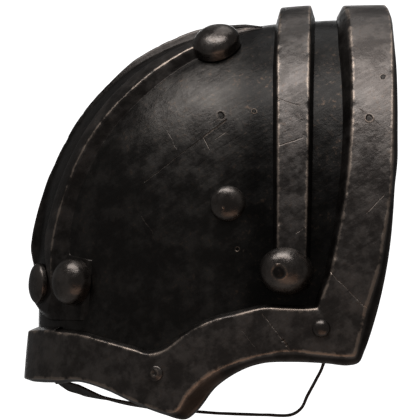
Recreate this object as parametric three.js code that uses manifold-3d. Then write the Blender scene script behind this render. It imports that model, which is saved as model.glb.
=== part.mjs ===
// A steel shoulder plate (pauldron) for the right arm: a hollow dome with a raised rim round its neck side
// and its scalloped bottom, a raised band over the shoulder, two ridged straps down the crest, domed rivets
// and a thin leather arm strap. Millimetres; x runs from the arm to the neck, the front faces -y, z is up,
// and the back mirrors the front across y = 0.
import * as THREE from 'three';
import { mergeVertices } from 'three/addons/utils/BufferGeometryUtils.js';
import Module from 'manifold-3d';

const wasm = await Module();
wasm.setup();

// Dome: a rounded vault about an axis at the neck side, closed at the arm end, with straight walls below.
const DOME_X = 64.8;
const DOME_Z = -34.2;
const DOME_REACH = 216.8;
const DOME_RISE = 186.3;
const DOME_POWER = 2.92;
const DOME_DEPTH = 92;
const DEPTH_X = -40;
const DEPTH_Z = 40;
const GROW_TO_NECK = 0.07;
const GROW_DOWN = 0.08;
const PLATE = 2;
const SEAT = 0.7;
const SECTIONS = 20;
const SECTION_POWER = 0.8;
const ARCH_STEPS = 28;
const WALL_FOOT = -100;
const BLOCK_FOOT = -110;
const NECK_END = 75;

// Rim: how far its flat and its outer edge stand off the dome.
const RIM_PROUD = 9;
const RIM_EDGE = 3.3;

// Inner band over the shoulder.
const BAND_PROUD = 9.6;
const BAND_BEVEL = 3;
const BAND_LEFT = -9.3;
const BAND_LEFT_TOP = -6.6;
const BAND_RIGHT_LOW = 7.2;
const BAND_RIGHT_TOP = 11.4;
const BAND_END = 2;
const BAND_STEPS = 17;

// Crest straps: their inner edge, how far the flat stands off the dome, how far the lip and the rib stand
// off the flat, the thin foot and the bevels.
const STRAP_INNER = 8;
const STRAP_FLAT = 3.6;
const LIP_HIGH = 1.8;
const RIB_HIGH = 1.6;
const STRAP_FOOT = 0.6;
const STRAP_BEVEL = 2;
const STRAP_STEP = 3;

// Crest strap rows down the crest: turn from straight up, then the distances from the middle plane of the
// rib's far foot, the rib's arris, its near foot and the outer edge. From 0 to 1 each: rise for the end
// bevels, rib for the rib's height, lip for the inner edge's and pad for the flat beside the near foot.
const STRAP_ROWS = [
  { turn: 24.4, far: 11, arris: 12.4, near: 13.8, outer: 16, rise: 0.3, rib: 0, lip: 1, pad: 1 },
  { turn: 26.8, far: 11, arris: 12.4, near: 13.8, outer: 16, rise: 1, rib: 0, lip: 1, pad: 1 },
  { turn: 28, far: 13, arris: 17, near: 19, outer: 23, rise: 1, rib: 0, lip: 1, pad: 1 },
  { turn: 29, far: 16, arris: 23, near: 27, outer: 33, rise: 1, rib: 0, lip: 1, pad: 1 },
  { turn: 30.2, far: 20, arris: 28, near: 32, outer: 42, rise: 1, rib: 0, lip: 1, pad: 1 },
  { turn: 34, far: 20.6, arris: 30, near: 33, outer: 42, rise: 1, rib: 0, lip: 1, pad: 1 },
  { turn: 36.2, far: 21, arris: 31, near: 33, outer: 36, rise: 1, rib: 0, lip: 1, pad: 1 },
  { turn: 36.9, far: 21, arris: 31.2, near: 32, outer: 32.8, rise: 1, rib: 1, lip: 1, pad: 0 },
  { turn: 43, far: 23.8, arris: 35, near: 36.2, outer: 37, rise: 1, rib: 1, lip: 1, pad: 0 },
  { turn: 49, far: 25.4, arris: 37.3, near: 38.2, outer: 39, rise: 1, rib: 1, lip: 1, pad: 0 },
  { turn: 57, far: 27.2, arris: 37.8, near: 38.6, outer: 39.4, rise: 1, rib: 1, lip: 1, pad: 0 },
  { turn: 65, far: 27.6, arris: 37.6, near: 38.8, outer: 39.6, rise: 1, rib: 1, lip: 1, pad: 0 },
  { turn: 70, far: 26.4, arris: 36.8, near: 39.2, outer: 40, rise: 1, rib: 1, lip: 1, pad: 0 },
  { turn: 75, far: 24.6, arris: 35.8, near: 39.6, outer: 40.6, rise: 1, rib: 1, lip: 1, pad: 0.1 },
  { turn: 77, far: 25, arris: 35.7, near: 39.4, outer: 45, rise: 1, rib: 1, lip: 0.5, pad: 0.5 },
  { turn: 78.6, far: 27, arris: 35.7, near: 38.8, outer: 54.5, rise: 1, rib: 0.9, lip: 0, pad: 1 },
  { turn: 84, far: 34.6, arris: 36, near: 37.4, outer: 54.5, rise: 1, rib: 0.1, lip: 0, pad: 1 },
  { turn: 87.2, far: 22, arris: 32, near: 42, outer: 54.5, rise: 1, rib: 0, lip: 0, pad: 1 },
  { turn: 88.4, far: 22, arris: 32, near: 42, outer: 52.5, rise: 0.5, rib: 0, lip: 0, pad: 1 },
];

// Arm strap.
const LEATHER_WIDE = 11;
const LEATHER_THICK = 1.5;
const LEATHER_STEPS = 44;

const STEEL = { color: 0x2a2724, roughness: 0.42, metalness: 0.95 };
const RIVET_STEEL = { color: 0x332f2b, roughness: 0.38, metalness: 0.95 };
const LEATHER = { color: 0x1c1714, roughness: 0.8, metalness: 0 };

// Rim rows over the shoulder: turn from level to straight up, then x of the flat's two arrises and of the
// outer edge, and the width of the inner bevel.
const RIM_OVER = [
  { turn: 90, inX: 30.6, outX: 55.8, edgeX: 58.8, foot: 3.0 },
  { turn: 82, inX: 33.9, outX: 58.2, edgeX: 60.0, foot: 5.5 },
  { turn: 75, inX: 35.2, outX: 59.8, edgeX: 60.9, foot: 7.8 },
  { turn: 68, inX: 36.0, outX: 60.0, edgeX: 62.1, foot: 7.8 },
  { turn: 60, inX: 35.6, outX: 60.0, edgeX: 62.7, foot: 7.2 },
];

// Rim rows down the front and along the bottom to the arm side: x and z of the inner arris, the outer arris
// and the outer edge, and the width of the inner bevel.
const RIM_FRONT = [
  { in: [34.8, 83], out: [59.6, 83], edge: [62.6, 83], foot: 6.5 },
  { in: [33.6, 67], out: [59.2, 67], edge: [62.2, 67], foot: 6 },
  { in: [32.1, 52], out: [58.4, 52], edge: [60.6, 52], foot: 6 },
  { in: [30.0, 38], out: [56.8, 38], edge: [59.7, 38], foot: 5.5 },
  { in: [27.6, 25], out: [53.8, 22], edge: [58.2, 21], foot: 5 },
  { in: [24.6, 11], out: [51.0, 5], edge: [55.8, 4], foot: 4.8 },
  { in: [21.9, -1], out: [46.8, -9], edge: [52.8, -11], foot: 4.5 },
  { in: [18.6, -10], out: [43.2, -20], edge: [49.8, -23], foot: 4.2 },
  { in: [16.2, -16], out: [40.0, -34], edge: [45.6, -37], foot: 4 },
  { in: [14.6, -20], out: [36.6, -48], edge: [39.0, -52.6], foot: 3.5 },
  { in: [7.2, -21], out: [15.0, -47.4], edge: [19.2, -53.2], foot: 3 },
  { in: [-4.8, -20.7], out: [-1.2, -45.6], edge: [0, -52.4], foot: 3 },
  { in: [-17.1, -20.4], out: [-17.1, -47.8], edge: [-18, -53.2], foot: 3 },
  { in: [-33.0, -24], out: [-33.0, -52.2], edge: [-31.2, -57.6], foot: 3 },
  { in: [-49.2, -28.2], out: [-49.8, -59.4], edge: [-45.6, -67.2], foot: 3 },
  { in: [-63.0, -35.4], out: [-62.8, -70.6], edge: [-57.0, -81.5], foot: 3 },
  { in: [-76.5, -45.5], out: [-70.8, -81.9], edge: [-64.2, -87], foot: 3 },
  { in: [-86.0, -47.8], out: [-79.5, -81], edge: [-76, -84], foot: 3 },
  { in: [-94.8, -45.3], out: [-94.8, -76.2], edge: [-93.6, -78.6], foot: 3 },
  { in: [-111.0, -40.8], out: [-111, -69], edge: [-110.4, -71], foot: 3 },
  { in: [-127.2, -36.6], out: [-127.2, -64.2], edge: [-127.2, -66.4], foot: 3 },
];

// Rim rows round the arm end: turn from the front to the arm end, and z of the arrises and the edge.
const RIM_ARM = [
  { turn: 79, inZ: -34.3, outZ: -61, edgeZ: -66 },
  { turn: 83, inZ: -34.3, outZ: -60.4, edgeZ: -65.4 },
  { turn: 87, inZ: -34.6, outZ: -60, edgeZ: -64.8 },
  { turn: 90, inZ: -34.8, outZ: -60, edgeZ: -64.8 },
];
const ARM_FOOT = 3;

// Arm strap's route: turn from the front to the arm end, z, how far it lies inside the dome's outer surface,
// and the tilt of its face, 90 facing front and 0 facing down.
const LEATHER_ROUTE = [
  { turn: 27.2, z: -27, inset: 4.1, tilt: 90 },
  { turn: 26.7, z: -38, inset: 4.9, tilt: 88 },
  { turn: 26.6, z: -48, inset: 9, tilt: 45 },
  { turn: 27.2, z: -55, inset: 12, tilt: 8 },
  { turn: 30.5, z: -63, inset: 15.1, tilt: 0 },
  { turn: 33.3, z: -73, inset: 17.3, tilt: 0 },
  { turn: 35.6, z: -81, inset: 19.5, tilt: 0 },
  { turn: 38.7, z: -84.6, inset: 20.9, tilt: 0 },
  { turn: 46.4, z: -85, inset: 23.5, tilt: 0 },
  { turn: 53.4, z: -84.8, inset: 25.1, tilt: 0 },
  { turn: 61.3, z: -83.6, inset: 25.8, tilt: 0 },
  { turn: 68.6, z: -80.6, inset: 25.2, tilt: 6 },
  { turn: 73.6, z: -77.6, inset: 22.1, tilt: 8 },
  { turn: 76.6, z: -75.6, inset: 18.1, tilt: 0 },
  { turn: 79.9, z: -71, inset: 13.2, tilt: 28 },
  { turn: 83.2, z: -66.5, inset: 10, tilt: 24 },
  { turn: 86.7, z: -60, inset: 7.1, tilt: 8 },
  { turn: 88.9, z: -50, inset: 5.4, tilt: 0 },
  { turn: 89.5, z: -38, inset: 5.4, tilt: 0 },
];

function halfDepth(x, z) {
  return DOME_DEPTH + GROW_TO_NECK * (x - DEPTH_X) - GROW_DOWN * (z - DEPTH_Z);
}

// Below zero inside the dome's surface raised by lift, above zero outside.
function outside(p, lift) {
  const reach = Math.abs(DOME_X - p.x) / (DOME_REACH + lift);
  const rise = Math.max(0, p.z - DOME_Z) / (DOME_RISE + lift);
  const depth = Math.abs(p.y) / (halfDepth(p.x, p.z) + lift);
  return reach ** DOME_POWER + rise ** DOME_POWER + depth ** 2 - 1;
}

// The point where a line crosses the dome's surface raised by lift, between two distances along it.
function crossing(from, way, lift, near = 0, far = 400) {
  const p = new THREE.Vector3();
  for (let i = 0; i < 40; i++) {
    const middle = (near + far) / 2;
    p.copy(from).addScaledVector(way, middle);
    if (outside(p, lift) < 0) near = middle;
    else far = middle;
  }
  return p;
}

function vec(x, y, z) {
  return new THREE.Vector3(x, y, z);
}

// Points of the raised surface: seen at x and z from the front, at a turn over the shoulder, at a turn round
// the arm, and at a turn along the crest for a given y.
function front(x, z, lift) {
  return crossing(vec(x, 0, z), vec(0, -1, 0), lift);
}

function over(x, turn, lift) {
  const a = THREE.MathUtils.degToRad(turn);
  return crossing(vec(x, 0, DOME_Z), vec(0, -Math.cos(a), Math.sin(a)), lift);
}

function round(turn, z, lift) {
  const a = THREE.MathUtils.degToRad(turn);
  return crossing(vec(DOME_X, 0, z), vec(-Math.sin(a), -Math.cos(a), 0), lift);
}

function along(turn, y, lift) {
  const a = THREE.MathUtils.degToRad(turn);
  const ridge = crossing(vec(DOME_X, 0, DOME_Z), vec(-Math.sin(a), 0, Math.cos(a)), 0);
  const way = normalAt(ridge);
  ridge.y = y;
  return crossing(ridge, way, lift, -80, 80);
}

function normalAt(p) {
  const step = 0.01;
  const n = vec(0, 0, 0);
  for (const axis of ['x', 'y', 'z']) {
    const ahead = p.clone();
    const behind = p.clone();
    ahead[axis] += step;
    behind[axis] -= step;
    n[axis] = outside(ahead, 0) - outside(behind, 0);
  }
  return n.normalize();
}

function settle(p, lift) {
  return crossing(p, normalAt(p), lift, -30, 30);
}

// A closed solid between a top sheet and a low sheet, each given as rows of points. A closed one joins its
// last row to its first.
function slab(rows, closed = false) {
  const position = [];
  const index = [];
  const known = new Map();
  const vertex = (p) => {
    const key = [p.x, p.y, p.z].map((v) => Math.round(v * 1000)).join(' ');
    if (!known.has(key)) {
      known.set(key, position.length / 3);
      position.push(p.x, p.y, p.z);
    }
    return known.get(key);
  };
  const face = (a, b, c) => {
    const [i, j, k] = [vertex(a), vertex(b), vertex(c)];
    if (i !== j && j !== k && k !== i) index.push(i, j, k);
  };
  const quad = (a, b, c, d) => {
    face(a, b, c);
    face(a, c, d);
  };
  const last = rows[0].top.length - 1;
  const joins = closed ? rows.length : rows.length - 1;
  for (let i = 0; i < joins; i++) {
    const p = rows[i];
    const q = rows[(i + 1) % rows.length];
    for (let j = 0; j < last; j++) {
      quad(p.top[j], q.top[j], q.top[j + 1], p.top[j + 1]);
      quad(p.low[j], p.low[j + 1], q.low[j + 1], q.low[j]);
    }
    quad(p.top[0], p.low[0], q.low[0], q.top[0]);
    quad(p.top[last], q.top[last], q.low[last], p.low[last]);
  }
  if (!closed) {
    const p = rows[0];
    const q = rows[rows.length - 1];
    for (let j = 0; j < last; j++) {
      quad(p.top[j], p.top[j + 1], p.low[j + 1], p.low[j]);
      quad(q.top[j], q.low[j], q.low[j + 1], q.top[j + 1]);
    }
  }
  const g = new THREE.BufferGeometry();
  g.setAttribute('position', new THREE.Float32BufferAttribute(position, 3));
  g.setIndex(index);
  return g;
}

function toSolid(geometry) {
  const bare = geometry.clone();
  bare.deleteAttribute('normal');
  bare.deleteAttribute('uv');
  const merged = mergeVertices(bare, 1e-4);
  const vertProperties = merged.attributes.position.array;
  const triVerts = new Uint32Array(merged.index.array);
  const made = new wasm.Manifold(new wasm.Mesh({ numProp: 3, vertProperties, triVerts }));
  if (made.volume() > 0) return made;
  return new wasm.Manifold(new wasm.Mesh({ numProp: 3, vertProperties, triVerts: triVerts.reverse() }));
}

function toGeometry(solid) {
  const m = solid.getMesh();
  const g = new THREE.BufferGeometry();
  g.setAttribute('position', new THREE.BufferAttribute(new Float32Array(m.vertProperties), 3));
  g.setIndex(new THREE.BufferAttribute(new Uint32Array(m.triVerts), 1));
  return g;
}

// A dome-shaped block with its foot and its neck end left flat.
function domeBlock(lift, foot, neckEnd) {
  const rows = [];
  const reach = DOME_REACH + lift;
  for (let i = 0; i <= SECTIONS; i++) {
    const turn = (i / SECTIONS) * (Math.PI / 2);
    const x = i === 0 ? neckEnd : DOME_X - reach * Math.min(0.9999, Math.sin(turn) ** SECTION_POWER);
    const top = [];
    for (let j = 0; j <= ARCH_STEPS; j++) {
      const p = over(x, (j / ARCH_STEPS) * 90, lift);
      top.push(p);
    }
    const half = top.concat(top.slice(0, -1).reverse().map((p) => vec(p.x, -p.y, p.z)));
    const start = vec(x, crossing(vec(x, 0, foot), vec(0, -1, 0), lift).y, foot);
    const arch = [start, ...half, vec(x, -start.y, foot)];
    rows.push({ top: arch, low: arch.map((p) => vec(x, p.y, foot - 10)) });
  }
  return toSolid(slab(rows));
}

// The four long lines of the rim's loop, each through the same rows.
function rimLines() {
  const rows = [];
  for (const r of RIM_OVER) {
    rows.push({
      inner: over(r.inX, r.turn, RIM_PROUD),
      outer: over(r.outX, r.turn, RIM_PROUD),
      edge: over(r.edgeX, r.turn, RIM_EDGE),
      base: over(r.edgeX, r.turn, SEAT),
      foot: over(r.inX - r.foot, r.turn, SEAT),
    });
  }
  for (const r of RIM_FRONT) {
    const way = new THREE.Vector2(r.out[0] - r.in[0], r.out[1] - r.in[1]).normalize();
    rows.push({
      inner: front(r.in[0], r.in[1], RIM_PROUD),
      outer: front(r.out[0], r.out[1], RIM_PROUD),
      edge: front(r.edge[0], r.edge[1], RIM_EDGE),
      base: front(r.edge[0], r.edge[1], SEAT),
      foot: front(r.in[0] - way.x * r.foot, r.in[1] - way.y * r.foot, SEAT),
    });
  }
  for (const r of RIM_ARM) {
    rows.push({
      inner: round(r.turn, r.inZ, RIM_PROUD),
      outer: round(r.turn, r.outZ, RIM_PROUD),
      edge: round(r.turn, r.edgeZ, RIM_EDGE),
      base: round(r.turn, r.edgeZ, SEAT),
      foot: round(r.turn, r.inZ + ARM_FOOT, SEAT),
    });
  }
  const back = rows.slice(1, -1).reverse();
  const lines = {};
  for (const name of ['inner', 'outer', 'edge', 'base', 'foot']) {
    const points = rows.map((r) => r[name]);
    const mirrored = back.map((r) => vec(r[name].x, -r[name].y, r[name].z));
    lines[name] = new THREE.CatmullRomCurve3([...points, ...mirrored], true, 'centripetal');
  }
  return { lines, count: 2 * rows.length - 2 };
}

function rimBand() {
  const { lines, count } = rimLines();
  const rows = [];
  const steps = count * 2;
  for (let i = 0; i < steps; i++) {
    const p = {};
    for (const name of Object.keys(lines)) p[name] = lines[name].getPoint(i / steps);
    const inner = settle(p.inner, RIM_PROUD);
    const outer = settle(p.outer, RIM_PROUD);
    const edge = settle(p.edge, RIM_EDGE);
    const third = settle(p.foot.clone().lerp(p.base, 1 / 3), SEAT);
    const twoThirds = settle(p.foot.clone().lerp(p.base, 2 / 3), SEAT);
    const middle = settle(inner.clone().lerp(outer, 0.5), RIM_PROUD);
    rows.push({
      top: [inner, middle, outer, edge],
      low: [settle(p.foot, SEAT), third, twoThirds, settle(p.base, SEAT)],
    });
  }
  return slab(rows, true);
}

// The outline that the dome is trimmed to, seen from the front: the rim's outer edge, open above.
function trimBlock() {
  const { lines, count } = rimLines();
  const steps = count * 2;
  const shape = [];
  for (let i = 0; i <= steps / 2; i++) shape.push(lines.base.getPoint(i / steps));
  const outline = shape.map((p) => new THREE.Vector2(p.x, p.z));
  const [first] = outline;
  const final = outline[outline.length - 1];
  outline.push(new THREE.Vector2(final.x - 40, final.y));
  outline.push(new THREE.Vector2(final.x - 40, first.y + 60));
  outline.push(new THREE.Vector2(first.x, first.y + 60));
  const depth = 300;
  const g = new THREE.ExtrudeGeometry(new THREE.Shape(outline), { depth, bevelEnabled: false });
  g.rotateX(Math.PI / 2);
  g.translate(0, depth / 2, 0);
  return toSolid(g);
}

function domeShell() {
  const outer = domeBlock(0, WALL_FOOT, NECK_END);
  const inner = domeBlock(-PLATE, BLOCK_FOOT, NECK_END + 10);
  return toGeometry(outer.intersect(trimBlock()).subtract(inner));
}

// Band section at one turn over the shoulder: share runs from 0 at the front stud to 1 at the crest.
function bandRow(share, side) {
  const low = front(0, BAND_END, 0);
  const start = THREE.MathUtils.radToDeg(Math.atan2(low.z - DOME_Z, -low.y));
  const turn = start + (90 - start) * share;
  const left = THREE.MathUtils.lerp(BAND_LEFT, BAND_LEFT_TOP, Math.max(0, share * 4 - 3));
  const right = THREE.MathUtils.lerp(BAND_RIGHT_LOW, BAND_RIGHT_TOP, share);
  const shares = [0, 1 / 3, 2 / 3, 1];
  const at = (a, b, lift) =>
    shares.map((s) => {
      const p = over(THREE.MathUtils.lerp(a, b, s), turn, lift);
      p.y *= side;
      return p;
    });
  return {
    top: at(left, right, BAND_PROUD),
    low: at(left - BAND_BEVEL, right + BAND_BEVEL, SEAT),
  };
}

function innerBand(clearances) {
  const rows = [];
  for (let i = 0; i <= BAND_STEPS; i++) rows.push(bandRow(i / BAND_STEPS, 1));
  for (let i = BAND_STEPS - 1; i >= 0; i--) rows.push(bandRow(i / BAND_STEPS, -1));
  let solid = toSolid(slab(rows));
  for (const c of clearances) solid = solid.subtract(toSolid(c));
  return toGeometry(solid);
}

// One row of a crest strap: the section's top and low points from the inner edge to the outer edge.
function strapRow(r, side) {
  const inner = [STRAP_INNER, (STRAP_INNER + r.far) / 2];
  const bevel = THREE.MathUtils.lerp(0.2, STRAP_BEVEL, r.pad);
  const flat = SEAT + (STRAP_FLAT - SEAT) * r.rise;
  const brim = THREE.MathUtils.lerp(SEAT + STRAP_FOOT, flat, r.pad);
  const tops = [
    { y: inner[0] + 1.4, lift: flat + LIP_HIGH * r.lip * r.rise },
    { y: inner[1], lift: flat + (LIP_HIGH / 2) * r.lip * r.rise },
    { y: r.far, lift: flat },
    { y: r.arris, lift: flat + RIB_HIGH * r.rib },
    { y: r.near, lift: brim },
    { y: (r.near + r.outer - bevel) / 2, lift: brim },
    { y: r.outer - bevel, lift: brim },
  ];
  const lows = [...inner, r.far, r.arris, r.near, (r.near + r.outer) / 2, r.outer];
  return {
    top: tops.map((t) => along(r.turn, side * t.y, t.lift)),
    low: lows.map((y) => along(r.turn, side * y, SEAT)),
  };
}

function crestStrap(side) {
  const rows = [strapRow(STRAP_ROWS[0], side)];
  for (let i = 1; i < STRAP_ROWS.length; i++) {
    const p = STRAP_ROWS[i - 1];
    const q = STRAP_ROWS[i];
    const steps = Math.ceil((q.turn - p.turn) / STRAP_STEP);
    for (let k = 1; k <= steps; k++) {
      const r = {};
      for (const key of Object.keys(q)) r[key] = THREE.MathUtils.lerp(p[key], q[key], k / steps);
      rows.push(strapRow(r, side));
    }
  }
  return toGeometry(toSolid(slab(rows)));
}

// A domed rivet head on the surface raised by seat. Its underside follows that surface, or is a plane.
function rivet(centre, way, size, seat, plane) {
  const long = vec(0, 0, 1).addScaledVector(way, -way.z).normalize();
  const wide = new THREE.Vector3().crossVectors(way, long);
  const foot = crossing(centre, way, seat, -60, 60);
  const rows = [];
  const petals = 16;
  const rings = plane ? 2 : 3;
  for (let i = 0; i < petals; i++) {
    const a = (i / petals) * 2 * Math.PI;
    const top = [];
    const low = [];
    for (let j = 0; j <= rings; j++) {
      const b = ((j / rings) * Math.PI) / 2;
      const flat = foot
        .clone()
        .addScaledVector(long, Math.cos(a) * Math.sin(b) * size.high)
        .addScaledVector(wide, Math.sin(a) * Math.sin(b) * size.wide);
      low.push(plane ? flat : crossing(flat, way, seat, -60, 60));
      top.push(flat.clone().addScaledVector(way, size.skirt + size.crown * Math.cos(b)));
    }
    rows.push({ top, low });
  }
  return toGeometry(toSolid(slab(rows, true)));
}

// Studs on the dome: place as seen from the front, half sizes, straight skirt and domed crown.
const DOME_STUDS = [
  { name: 'band_stud', x: -4.2, z: 1.8, wide: 16, high: 14.4, skirt: 7, crown: 9 },
  { name: 'middle_stud', x: -38.4, z: 41.4, wide: 10.8, high: 10.8, skirt: 1.6, crown: 3.6 },
];

// Small rivets on the rim's flat.
const RIM_RIVETS = [
  { name: 'corner_rivet', x: 16.8, z: -32.4, wide: 5.4, high: 5.4, skirt: 0.8, crown: 2.6 },
  { name: 'ring_rivet', x: -81.6, z: -59.4, wide: 4.6, high: 4.6, skirt: 0.8, crown: 1.6 },
];

// Rivets on the crest straps: turn along the crest and distance from the middle plane.
const CREST_RIVETS = [
  { name: 'crest_rivet_top', turn: 32.2, y: 35, wide: 14, high: 14, skirt: 1.4, crown: 6.4 },
  { name: 'crest_rivet_outer', turn: 82.4, y: 48.4, wide: 12.4, high: 14, skirt: 1.4, crown: 6 },
  { name: 'crest_rivet_inner', turn: 82.6, y: 20.4, wide: 11, high: 12, skirt: 0.9, crown: 3.4 },
];

function domeStud(r, side) {
  const centre = vec(r.x, side * halfDepth(r.x, r.z), r.z);
  return rivet(centre, vec(0, side, 0), r, SEAT, false);
}

function rimRivet(r, side) {
  const p = front(r.x, r.z, RIM_PROUD + SEAT);
  p.y *= -side;
  return rivet(p, normalAt(p), r, RIM_PROUD + SEAT, true);
}

function crestRivet(r, side) {
  const seat = STRAP_FLAT + SEAT;
  const p = along(r.turn, side * r.y, seat);
  return rivet(p, normalAt(p), r, seat, false);
}

// Room for the band stud where the inner band ends against it.
function studClearance(side) {
  const [stud] = DOME_STUDS;
  const g = new THREE.CylinderGeometry(1, 1, 80, 32);
  g.scale(stud.wide + 0.4, 1, stud.high + 0.4);
  g.translate(stud.x, side * 110, stud.z);
  return g;
}

function armStrap() {
  const points = LEATHER_ROUTE.map((r) => round(r.turn, r.z, -r.inset));
  const curve = new THREE.CatmullRomCurve3(points, false, 'centripetal');
  const rows = [];
  for (let i = 0; i <= LEATHER_STEPS; i++) {
    const u = i / LEATHER_STEPS;
    const at = u * (LEATHER_ROUTE.length - 1);
    const k = Math.min(Math.floor(at), LEATHER_ROUTE.length - 2);
    const tilt = THREE.MathUtils.lerp(LEATHER_ROUTE[k].tilt, LEATHER_ROUTE[k + 1].tilt, at - k);
    const p = curve.getPoint(u);
    const way = curve.getTangent(u);
    const deep = vec(0, -1, 0).addScaledVector(way, way.y).normalize();
    const across = deep.clone().applyAxisAngle(way, THREE.MathUtils.degToRad(tilt));
    const up = new THREE.Vector3().crossVectors(across, way);
    const edge = (s, t) =>
      p.clone().addScaledVector(across, s * LEATHER_WIDE).addScaledVector(up, t * LEATHER_THICK);
    rows.push({
      top: [edge(-0.5, 0.5), edge(0.5, 0.5)],
      low: [edge(-0.5, -0.5), edge(0.5, -0.5)],
    });
  }
  return toGeometry(toSolid(slab(rows)));
}

const pauldron = new THREE.Group();

function addPiece(name, geometry, look) {
  const mesh = new THREE.Mesh(geometry, new THREE.MeshStandardMaterial(look));
  mesh.name = name;
  pauldron.add(mesh);
}

const SIDES = [
  { name: 'front', side: -1 },
  { name: 'back', side: 1 },
];

addPiece('dome_shell', domeShell(), STEEL);
addPiece('rim_band', toGeometry(toSolid(rimBand())), STEEL);
addPiece('inner_band', innerBand(SIDES.map((s) => studClearance(s.side))), STEEL);
for (const { name, side } of SIDES) {
  addPiece(`crest_strap_${name}`, crestStrap(side), STEEL);
  for (const r of DOME_STUDS) addPiece(`${r.name}_${name}`, domeStud(r, side), RIVET_STEEL);
  for (const r of RIM_RIVETS) addPiece(`${r.name}_${name}`, rimRivet(r, side), RIVET_STEEL);
  for (const r of CREST_RIVETS) addPiece(`${r.name}_${name}`, crestRivet(r, side), RIVET_STEEL);
}
addPiece('arm_strap', armStrap(), LEATHER);

export default pauldron;
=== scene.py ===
import math

import bmesh
import bpy
import numpy as np
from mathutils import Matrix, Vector


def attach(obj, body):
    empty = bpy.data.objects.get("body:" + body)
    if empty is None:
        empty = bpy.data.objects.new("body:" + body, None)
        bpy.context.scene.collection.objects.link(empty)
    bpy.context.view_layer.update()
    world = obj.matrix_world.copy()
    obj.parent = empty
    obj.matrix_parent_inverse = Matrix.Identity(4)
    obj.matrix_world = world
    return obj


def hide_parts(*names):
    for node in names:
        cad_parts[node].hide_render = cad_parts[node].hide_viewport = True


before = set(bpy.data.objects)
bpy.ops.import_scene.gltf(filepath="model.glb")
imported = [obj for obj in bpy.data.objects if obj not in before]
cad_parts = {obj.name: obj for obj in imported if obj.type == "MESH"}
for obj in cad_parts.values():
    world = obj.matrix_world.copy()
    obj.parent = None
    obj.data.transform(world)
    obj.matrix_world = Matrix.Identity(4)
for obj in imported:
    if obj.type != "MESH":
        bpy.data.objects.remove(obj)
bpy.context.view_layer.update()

MM = 0.001
SIDES = {"front": -1, "back": 1}

# Dome
DOME_X = 64.8
DOME_Z = -34.2
DOME_REACH = 216.8
DOME_RISE = 186.3
DOME_POWER = 2.92
DOME_DEPTH = 92
DEPTH_X = -40
DEPTH_Z = 40
GROW_TO_NECK = 0.07
GROW_DOWN = 0.08
PLATE = 2
DENT_DEEP = 0.35
# The sheets start this far short of the dome's far end, and its edges lie this far under the rim.
POLE_SHORT = 0.02
UNDER_RIM = 0.6
# How deep the bands, and the straps and rivets, sink into what carries them.
BAND_SUNK = -0.3
STRAP_SUNK = -0.4

# Rim
RIM_PROUD = 9
RIM_EDGE = 3.3
RIM_ROWS = 1000
RIM_OVER = [
    # turn, inner arris x, outer arris x, edge x, foot width
    (90, 30.6, 55.8, 58.8, 5.0),
    (82, 33.2, 58.2, 60.0, 7.4),
    (75, 34.2, 59.8, 60.9, 8.0),
    (68, 35.4, 60.0, 62.1, 7.8),
    (60, 35.6, 60.0, 62.5, 7.2),
]
RIM_FRONT = [
    # inner arris x and z, outer arris x and z, edge x and z, foot width
    (34.8, 83, 59.6, 83, 62.4, 83, 6.5),
    (33.6, 67, 59.2, 67, 62.2, 67, 6),
    (32.1, 52, 58.4, 52, 60.6, 52, 6),
    (30.0, 38, 56.8, 38, 59.7, 38, 5.5),
    (27.6, 25, 53.8, 22, 58.2, 21, 5),
    (24.6, 11, 51.0, 5, 55.8, 4, 4.8),
    (21.9, -1, 46.8, -9, 52.8, -11, 4.5),
    (18.6, -10, 43.2, -20, 49.8, -23, 4.2),
    (16.2, -16, 40.0, -34, 45.6, -37, 4),
    (15.3, -18.4, 38.2, -41.5, 42.3, -46, 3.8),
    (14.6, -20, 36.4, -48, 39.0, -52.6, 3.5),
    (12.4, -20.6, 31.2, -48.6, 32.4, -54.4, 3.2),
    (7.2, -21, 15.0, -47.4, 19.2, -53.2, 3),
    (-4.8, -20.7, -1.2, -45.6, 0, -52.4, 3),
    (-17.1, -20.4, -17.1, -47.8, -18, -53.2, 3),
    (-33.0, -24, -33.0, -52.2, -31.2, -57.6, 3),
    (-49.2, -28.2, -49.8, -59.4, -45.6, -67.2, 3),
    (-63.0, -35.4, -62.8, -70.6, -57.0, -81.5, 3),
    (-76.5, -45.5, -70.8, -81.9, -64.2, -86.6, 3),
    (-86.0, -47.8, -79.5, -81, -76, -84, 3),
    (-94.8, -45.3, -94.8, -75.4, -93.6, -77.6, 3),
    (-111.0, -40.8, -111, -68, -110.4, -69.8, 3),
    (-127.2, -36.6, -127.2, -63.2, -127.2, -64.8, 3),
    (-141.5, -35.2, -141.5, -63.4, -141.5, -66.2, 3),
]
RIM_ARM = [
    # turn, inner arris z, outer arris z, edge z
    (79, -34.3, -63, -65.6),
    (83, -34.3, -63, -65.4),
    (87, -34.6, -63.2, -65.2),
    (90, -34.8, -63.2, -65.2),
]
ARM_FOOT = 3
ARM_LEAN = 2.4
# The edge's turned lip: its level inside the plate, its reach, and the level that tucks it into the plate.
LIP_LEVEL = -PLATE - 0.6
LIP_REACH = 3
TUCK_LEVEL = -PLATE + 0.4

# Inner band
BAND_PROUD = 9.6
BAND_BEVEL = 3
BAND_LEFT = -9.3
BAND_LEFT_TOP = -6.6
BAND_RIGHT_LOW = 7.2
BAND_RIGHT_TOP = 11.4
BAND_END = -10
BAND_ROWS = 520

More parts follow.
